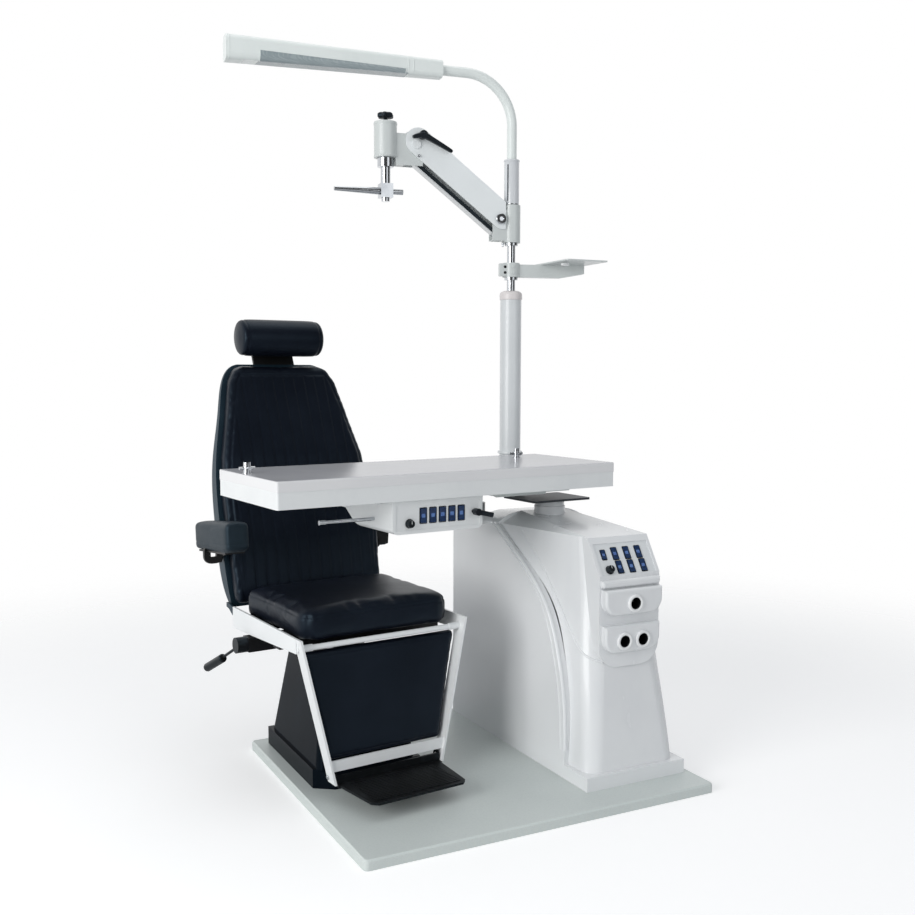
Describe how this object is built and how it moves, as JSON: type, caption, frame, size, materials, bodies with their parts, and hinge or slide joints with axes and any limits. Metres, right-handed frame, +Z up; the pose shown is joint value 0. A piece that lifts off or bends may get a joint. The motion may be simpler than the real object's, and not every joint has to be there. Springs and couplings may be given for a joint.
{
  "type": "ophthalmic examination chair",
  "caption": "Examination chair on a lift, with a console cabinet, swing-over instrument table, and a pole carrying a lamp, a parallel instrument arm and a tray, on one platform.",
  "frame": {"origin": "middle of the platform's underside, on the floor", "axes": "+X to the right along the platform's front edge, +Y to the back, +Z up"},
  "size_m": [1.1604, 1.0607, 1.996],
  "materials": {
    "platform_board": "satin",
    "black_cover": "gloss",
    "grey_steel": "satin",
    "chrome": "polished",
    "white_paint": "gloss",
    "white_plastic": "gloss",
    "white_casting": "satin",
    "black_steel": "satin",
    "navy_upholstery": "satin",
    "dark_shell": "satin",
    "lever_black": "satin",
    "panel_white": "satin",
    "rocker_blue": "gloss",
    "power_black": "satin",
    "tray_dark": "satin",
    "table_laminate": "gloss",
    "pole_silver": "satin",
    "pole_steel": "satin",
    "lens_glass": "polished"
  },
  "bodies": {
    "base": {"platform": "platform_board", "chair_base_cover": "black_cover", "chair_lift_outer": "grey_steel", "cabinet_shell": "white_paint", "cabinet_cowl": "white_plastic", "console_panel": "panel_white", "holder_rings": "white_plastic", "power_unit": "power_black", "table_column_outer": "grey_steel"},
    "chair_lift": {"chair_lift_ram": "chrome"},
    "chair_seat": {"seat_carrier": "black_steel", "leg_frame": "white_paint", "leg_pad": "navy_upholstery", "seat_cushion": "navy_upholstery"},
    "foot_rest": {"footplate": "black_steel"},
    "seat_lock": {"lock_lever": "lever_black"},
    "backrest": {"back_shell": "dark_shell", "back_cushion": "navy_upholstery"},
    "head_stem": {"headrest_stem": "black_steel"},
    "head_roll": {"headrest_roll": "navy_upholstery"},
    "left_armrest": {"armrest_left_pad": "navy_upholstery", "armrest_left_bracket": "black_steel"},
    "right_armrest": {"armrest_right_pad": "navy_upholstery", "armrest_right_bracket": "black_steel"},
    "console_knob": {"console_knob": "lever_black"},
    "small_tray": {"small_tray": "tray_dark"},
    "table_lift": {"table_column_inner": "chrome"},
    "table": {"table_arm": "white_casting", "table_board": "table_laminate", "table_skirt": "white_plastic", "table_posts": "chrome", "switch_box": "white_plastic", "pole_outer": "pole_silver"},
    "table_knob": {"table_knob": "lever_black"},
    "brake": {"brake_lever": "lever_black"},
    "release": {"release_rod": "chrome"},
    "pole": {"pole_inner": "pole_steel"},
    "upper_tray": {"upper_tray": "white_casting"},
    "arm_hub": {"arm_hub": "white_casting"},
    "arm_beam": {"arm_beam": "white_casting"},
    "arm_link": {"arm_link": "pole_silver"},
    "arm_head": {"arm_head": "white_casting"},
    "arm_clamp": {"clamp_lever": "lever_black"},
    "head_knob": {"head_knob": "lever_black"},
    "head_spindle": {"head_spindle": "chrome"},
    "lamp": {"lamp_tube": "chrome", "lamp_housing": "white_casting", "lamp_lens": "lens_glass"},
    "console_rocker_1": {"console_rocker_1": "rocker_blue"},
    "console_rocker_2": {"console_rocker_2": "rocker_blue"},
    "console_rocker_3": {"console_rocker_3": "rocker_blue"},
    "console_rocker_4": {"console_rocker_4": "rocker_blue"},
    "console_rocker_5": {"console_rocker_5": "rocker_blue"},
    "console_rocker_6": {"console_rocker_6": "rocker_blue"},
    "console_rocker_7": {"console_rocker_7": "rocker_blue"},
    "table_rocker_1": {"table_rocker_1": "rocker_blue"},
    "table_rocker_2": {"table_rocker_2": "rocker_blue"},
    "table_rocker_3": {"table_rocker_3": "rocker_blue"},
    "table_rocker_4": {"table_rocker_4": "rocker_blue"},
    "table_rocker_5": {"table_rocker_5": "rocker_blue"}
  },
  "joints": [
    {"name": "chair_lift", "type": "slide", "parent": "base", "child": "chair_lift", "axis": [0, 0, 1], "range_m": [-0.02, 0.12]},
    {"name": "chair_swivel", "type": "hinge", "parent": "chair_lift", "child": "chair_seat", "pos_m": [-0.308, 0.18, 0.352], "axis": [0, 0, 1], "range_deg": [-30, 15]},
    {"name": "footplate_fold", "type": "hinge", "parent": "chair_seat", "child": "foot_rest", "pos_m": [-0.28124, -0.0746, 0.086], "axis": [-0.9945, -0.1045, 0], "range_deg": [0, 85]},
    {"name": "seat_lock_turn", "type": "hinge", "parent": "chair_seat", "child": "seat_lock", "pos_m": [-0.57782, 0.21197, 0.367], "axis": [0.9945, 0.1045, 0], "range_deg": [-20, 20]},
    {"name": "back_recline", "type": "hinge", "parent": "chair_seat", "child": "backrest", "pos_m": [-0.32368, 0.32918, 0.415], "axis": [-0.9945, -0.1045, 0], "range_deg": [-8, 40]},
    {"name": "headrest_rise", "type": "slide", "parent": "backrest", "child": "head_stem", "axis": [-0.0426, 0.4052, 0.9132], "range_m": [0, 0.05]},
    {"name": "headrest_tilt", "type": "hinge", "parent": "head_stem", "child": "head_roll", "pos_m": [-0.34939, 0.57383, 1.176], "axis": [0.9945, 0.1045, 0], "range_deg": [-15, 15]},
    {"name": "left_armrest_fold", "type": "hinge", "parent": "backrest", "child": "left_armrest", "pos_m": [-0.57926, 0.39784, 0.574], "axis": [-0.9945, -0.1045, 0], "range_deg": [0, 80]},
    {"name": "right_armrest_fold", "type": "hinge", "parent": "backrest", "child": "right_armrest", "pos_m": [-0.08796, 0.44948, 0.574], "axis": [-0.9945, -0.1045, 0], "range_deg": [-79, 0]},
    {"name": "console_rocker_1_tip", "type": "hinge", "parent": "base", "child": "console_rocker_1", "pos_m": [0.251, -0.25935, 0.61643], "axis": [1, 0, 0], "range_deg": [-7, 7]},
    {"name": "console_rocker_2_tip", "type": "hinge", "parent": "base", "child": "console_rocker_2", "pos_m": [0.287, -0.25882, 0.61728], "axis": [1, 0, 0], "range_deg": [-7, 7]},
    {"name": "console_rocker_3_tip", "type": "hinge", "parent": "base", "child": "console_rocker_3", "pos_m": [0.325, -0.25882, 0.61728], "axis": [1, 0, 0], "range_deg": [-7, 7]},
    {"name": "console_rocker_4_tip", "type": "hinge", "parent": "base", "child": "console_rocker_4", "pos_m": [0.362, -0.25882, 0.61728], "axis": [1, 0, 0], "range_deg": [-7, 7]},
    {"name": "console_rocker_5_tip", "type": "hinge", "parent": "base", "child": "console_rocker_5", "pos_m": [0.289, -0.27901, 0.58509], "axis": [1, 0, 0], "range_deg": [-7, 7]},
    {"name": "console_rocker_6_tip", "type": "hinge", "parent": "base", "child": "console_rocker_6", "pos_m": [0.326, -0.27901, 0.58509], "axis": [1, 0, 0], "range_deg": [-7, 7]},
    {"name": "console_rocker_7_tip", "type": "hinge", "parent": "base", "child": "console_rocker_7", "pos_m": [0.364, -0.27901, 0.58509], "axis": [1, 0, 0], "range_deg": [-7, 7]},
    {"name": "console_knob_turn", "type": "hinge", "parent": "base", "child": "console_knob", "pos_m": [0.255, -0.2822, 0.58001], "axis": [0, -0.8471, 0.5315], "range_deg": [-150, 150]},
    {"name": "small_tray_turn", "type": "hinge", "parent": "base", "child": "small_tray", "pos_m": [0.31, 0.096, 0.721], "axis": [0, 0, 1], "range_deg": [-90, 90]},
    {"name": "table_lift", "type": "slide", "parent": "base", "child": "table_lift", "axis": [0, 0, 1], "range_m": [0, 0.15]},
    {"name": "table_swing", "type": "hinge", "parent": "table_lift", "child": "table", "pos_m": [0.199, 0.355, 0.74], "axis": [0, 0, 1], "range_deg": [-5, 40]},
    {"name": "table_rocker_1_tip", "type": "hinge", "parent": "table", "child": "table_rocker_1", "pos_m": [-0.21645, -0.15312, 0.735], "axis": [0.9954, 0.0958, 0], "range_deg": [-7, 7]},
    {"name": "table_rocker_2_tip", "type": "hinge", "parent": "table", "child": "table_rocker_2", "pos_m": [-0.18858, -0.15044, 0.735], "axis": [0.9954, 0.0958, 0], "range_deg": [-7, 7]},
    {"name": "table_rocker_3_tip", "type": "hinge", "parent": "table", "child": "table_rocker_3", "pos_m": [-0.16071, -0.14776, 0.735], "axis": [0.9954, 0.0958, 0], "range_deg": [-7, 7]},
    {"name": "table_rocker_4_tip", "type": "hinge", "parent": "table", "child": "table_rocker_4", "pos_m": [-0.13284, -0.14507, 0.735], "axis": [0.9954, 0.0958, 0], "range_deg": [-7, 7]},
    {"name": "table_rocker_5_tip", "type": "hinge", "parent": "table", "child": "table_rocker_5", "pos_m": [-0.10497, -0.14239, 0.735], "axis": [0.9954, 0.0958, 0], "range_deg": [-7, 7]},
    {"name": "table_knob_turn", "type": "hinge", "parent": "table", "child": "table_knob", "pos_m": [-0.25608, -0.15895, 0.718], "axis": [0.0958, -0.9954, 0], "range_deg": [-150, 150]},
    {"name": "brake_turn", "type": "hinge", "parent": "table", "child": "brake", "pos_m": [-0.06795, -0.14083, 0.736], "axis": [0.0958, -0.9954, 0], "range_deg": [-40, 10]},
    {"name": "release_push", "type": "slide", "parent": "table", "child": "release", "axis": [0.9954, 0.0958, 0], "range_m": [0, 0.012], "stiffness_N_per_m": 200},
    {"name": "pole_rise", "type": "slide", "parent": "table", "child": "pole", "axis": [0, 0, 1], "range_m": [-0.03, 0.15]},
    {"name": "upper_tray_turn", "type": "hinge", "parent": "pole", "child": "upper_tray", "pos_m": [0.29002, 0.29297, 1.374], "axis": [0, 0, 1], "range_deg": [-60, 60]},
    {"name": "arm_turn", "type": "hinge", "parent": "pole", "child": "arm_hub", "pos_m": [0.29002, 0.29297, 1.476], "axis": [0, 0, 1], "range_deg": [-60, 30]},
    {"name": "arm_tilt", "type": "hinge", "parent": "arm_hub", "child": "arm_beam", "pos_m": [0.24744, 0.29896, 1.543], "axis": [0.1392, 0.9903, 0], "range_deg": [-12, 10]},
    {"name": "arm_link_tilt", "type": "hinge", "parent": "arm_hub", "child": "arm_link", "pos_m": [0.23754, 0.30035, 1.498], "axis": [0.1392, 0.9903, 0], "range_deg": [-12, 10]},
    {"name": "arm_head_level", "type": "hinge", "parent": "arm_beam", "child": "arm_head", "pos_m": [-0.01201, 0.33542, 1.742], "axis": [0.1392, 0.9903, 0], "range_deg": [-10, 12]},
    {"name": "arm_clamp_turn", "type": "hinge", "parent": "arm_beam", "child": "arm_clamp", "pos_m": [0.00383, 0.3332, 1.766], "axis": [-0.1392, -0.9903, 0], "range_deg": [-30, 30]},
    {"name": "head_knob_turn", "type": "hinge", "parent": "arm_head", "child": "head_knob", "pos_m": [-0.09717, 0.34739, 1.801], "axis": [0, 0, 1], "range_deg": [-180, 180]},
    {"name": "head_spindle_turn", "type": "hinge", "parent": "arm_head", "child": "head_spindle", "pos_m": [-0.09717, 0.34739, 1.701], "axis": [0, 0, 1], "range_deg": [-90, 90]},
    {"name": "lamp_turn", "type": "hinge", "parent": "pole", "child": "lamp", "pos_m": [0.29002, 0.29297, 1.721], "axis": [0, 0, 1], "range_deg": [-60, 60]}
  ],
  "couplings": [
    {"joint": "arm_link_tilt", "follows": "arm_tilt", "ratio": 1},
    {"joint": "arm_head_level", "follows": "arm_tilt", "ratio": -1}
  ]
}
